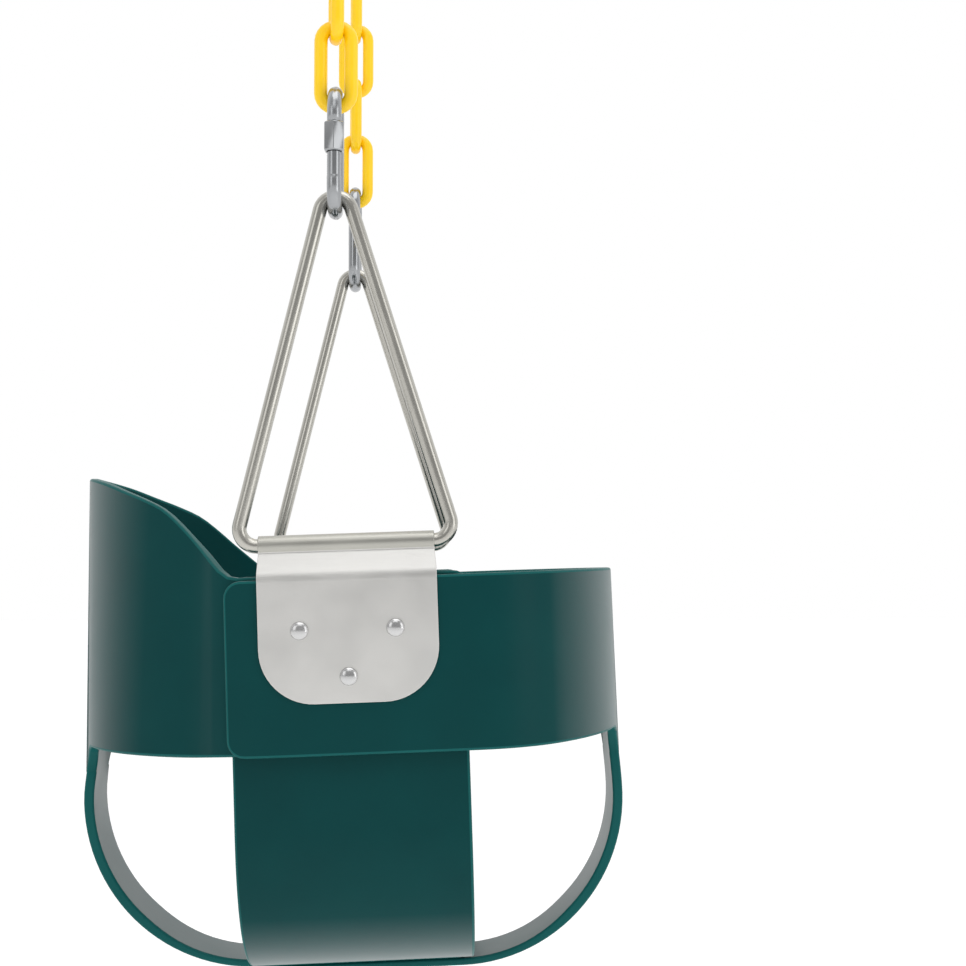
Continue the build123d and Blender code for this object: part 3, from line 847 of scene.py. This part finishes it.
# %% Chain links
LINK = (26.5 * MM, 11.8 * MM, 3.3 * MM)
COAT_SWELL = 0.14
BODY_OF_LINK = {1: "lowest_links", 2: "middle_links", 3: "middle_links", 4: "upper_links", 5: "upper_links"}
for side, sign in SIDES:
    for number, body in BODY_OF_LINK.items():
        low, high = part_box(f"{side}_chain_link_{number}")
        middle = (Vector(low) + Vector(high)) / 2
        bm = bmesh.new()
        ring(bm, *LINK)
        swell(bm, *LINK, COAT_SWELL)
        turn = radians(-3) if number % 2 else pi / 2 + radians(6.5 - 1.5 * sign)
        bm.transform(Matrix.Translation(middle) @ Matrix.Rotation(turn, 4, "Z"))
        piece(f"{side}_dipped_link_{number}", bm, VINYL, body,
              (f"{side}_chain_link_{number}",))
        core = frame["nodes"][f"{side}_link_core_{number}"]
        core.data.materials.clear()
        core.data.materials.append(CORE)
print("chain links made")

# %% [markdown]
# ## Quick links
# The quick link is a zinc plated ring with a gap in one long side, which a hexagonal nut closes. The thread
# below the gap is drawn as grooves 1.25 mm apart, as on an M8 rod.

# %% Quick links
QUICK_HALF_LONG = 37.0 * MM
THREAD_LONG = 16.5 * MM
THREAD_PITCH = 1.25 * MM
THREAD_WAIST = 0.93


def quick_link(side, sign):
    wire = 4.0 * MM
    r = 13.0 * MM
    s = QUICK_HALF_LONG - wire - r
    gap_low, gap_high = 0.5 * MM, 10.5 * MM
    axis = (0, -1, 0)
    bm = bmesh.new()
    start = bmesh.ops.create_circle(bm, segments=24, radius=wire, cap_ends=True,
                                    matrix=Matrix.Translation((r, 0, gap_high)))
    edges = list({e for v in start["verts"] for e in v.link_edges})
    legs = [(0, 0, s - gap_high), ((0, 0, s), axis, pi), (0, 0, -2 * s), ((0, 0, -s), axis, pi)]
    edges = follow(bm, edges, legs, 14)
    edges = follow(bm, edges, [(0, 0, gap_low - THREAD_LONG + s)])
    for i in range(round(THREAD_LONG / THREAD_PITCH)):
        for scale in (THREAD_WAIST, 1 / THREAD_WAIST):
            edges = follow(bm, edges, [(0, 0, THREAD_PITCH / 2)])
            verts = list({v for e in edges for v in e.verts})
            centre = sum((v.co for v in verts), Vector()) / len(verts)
            bmesh.ops.scale(bm, vec=(scale, scale, 1), space=Matrix.Translation(-centre), verts=verts)
    bmesh.ops.holes_fill(bm, edges=edges)
    bmesh.ops.recalc_face_normals(bm, faces=bm.faces[:])
    low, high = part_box(f"{side}_quick_link")
    middle = (Vector(low) + Vector(high)) / 2
    bm.transform(Matrix.Translation(middle) @ Matrix.Rotation(sign * pi / 2, 4, "Z"))
    return piece(f"{side}_zinc_link", bm, ZINC, "quick_links", (f"{side}_quick_link",))


for side, sign in SIDES:
    made = quick_link(side, sign)
print("quick link verts:", len(made.data.vertices))

# %% [markdown]
# ## Studio
# The swing hangs in a white studio over a pale floor that sends some light up.

# %% Floor
FLOOR_Z = -1.25
bpy.ops.mesh.primitive_plane_add(size=40, location=(0, 0, FLOOR_Z))
floor = bpy.context.object
floor.name = "pale_floor"
floor_paint, tree, shader, place = finish_of("studio floor painted", Roughness=0.9)
shader.inputs["Base Color"].default_value = linear("#f4f4f4")
shader.inputs["Emission Color"].default_value = (1, 1, 1, 1)
shader.inputs["Emission Strength"].default_value = 0.28
floor.data.materials.append(floor_paint)
print("floor at", FLOOR_Z)

# %% [markdown]
# The surroundings are bright behind the swing and weaker in front of it, so that dark moulded skin stays
# dark where it faces the eye and turns pale where it curves away. They also lift a little towards the top.
# The camera itself sees plain white.

# %% World
world = bpy.data.worlds.new("studio")
bpy.context.scene.world = world
world.use_nodes = True
tree = world.node_tree
back_light = tree.nodes["Background"]
direction = add(tree, "ShaderNodeTexCoord").outputs["Object"]
parts = add(tree, "ShaderNodeSeparateXYZ", Vector=direction)
depth = add(tree, "ShaderNodeMapRange", {"From Min": -0.6, "From Max": 0.3, "To Min": 0.42, "To Max": 1.0},
            Value=parts.outputs["Y"])
height = add(tree, "ShaderNodeMapRange", {"From Min": 0.1, "From Max": 0.9, "To Min": 0.0, "To Max": 0.12},
             Value=parts.outputs["Z"])
total = add(tree, "ShaderNodeMath", {"operation": "ADD"})
tree.links.new(depth.outputs["Result"], total.inputs[0])
tree.links.new(height.outputs["Result"], total.inputs[1])
tree.links.new(total.outputs["Value"], back_light.inputs["Strength"])
back_light.inputs["Color"].default_value = (1, 1, 1, 1)
seen = add(tree, "ShaderNodeBackground", {"Strength": 1.0})
seen.inputs["Color"].default_value = (1, 1, 1, 1)
path = add(tree, "ShaderNodeLightPath")
either = add(tree, "ShaderNodeMixShader")
tree.links.new(path.outputs["Is Camera Ray"], either.inputs[0])
tree.links.new(back_light.outputs["Background"], either.inputs[1])
tree.links.new(seen.outputs["Background"], either.inputs[2])
tree.links.new(either.outputs["Shader"], tree.nodes["World Output"].inputs["Surface"])
print("world:", world.name)

# %% [markdown]
# Four soft panels shape the metal: a large one overhead, a small one over the lens and one at each side.

# %% Lights
def panel_light(name, place, aim, size, power):
    lamp = bpy.data.lights.new(name, "AREA")
    lamp.shape = "RECTANGLE"
    lamp.size, lamp.size_y = size
    lamp.energy = power
    obj = bpy.data.objects.new(name, lamp)
    obj.location = place
    obj.rotation_euler = (Vector(aim) - Vector(place)).to_track_quat("-Z", "Y").to_euler()
    bpy.context.scene.collection.objects.link(obj)


panel_light("overhead", (0.2, -0.4, 1.3), (0, 0, -0.5), (1.6, 1.2), 9)
panel_light("front_left", (-1.3, -1.6, 0.2), (0, 0, -0.5), (0.9, 1.2), 3.6)
panel_light("over_the_lens", (0, -1.15, 0.6), (0, -0.1, -0.54), (0.9, 0.45), 1.3)
panel_light("front_right", (1.5, -1.1, -0.1), (0, 0, -0.55), (0.8, 1.4), 5)

# %% [markdown]
# ## Camera
# The camera is almost a metre away at the height of the seat's top and looks at the swing from its right
# side.

# %% Camera
HORIZON = base.z - 12.4 * MM
lens = bpy.data.cameras.new("camera")
lens.sensor_width = 36
lens.lens = 57.9
camera = bpy.data.objects.new("camera", lens)
camera.location = (52.9 * MM, -0.971, HORIZON)
camera.rotation_euler = Vector((0.0341, 1.0, 0.0534)).to_track_quat("-Z", "Y").to_euler()
bpy.context.scene.collection.objects.link(camera)
bpy.context.scene.camera = camera
bpy.context.scene.view_settings.view_transform = "Standard"
print("lens in mm:", lens.lens)
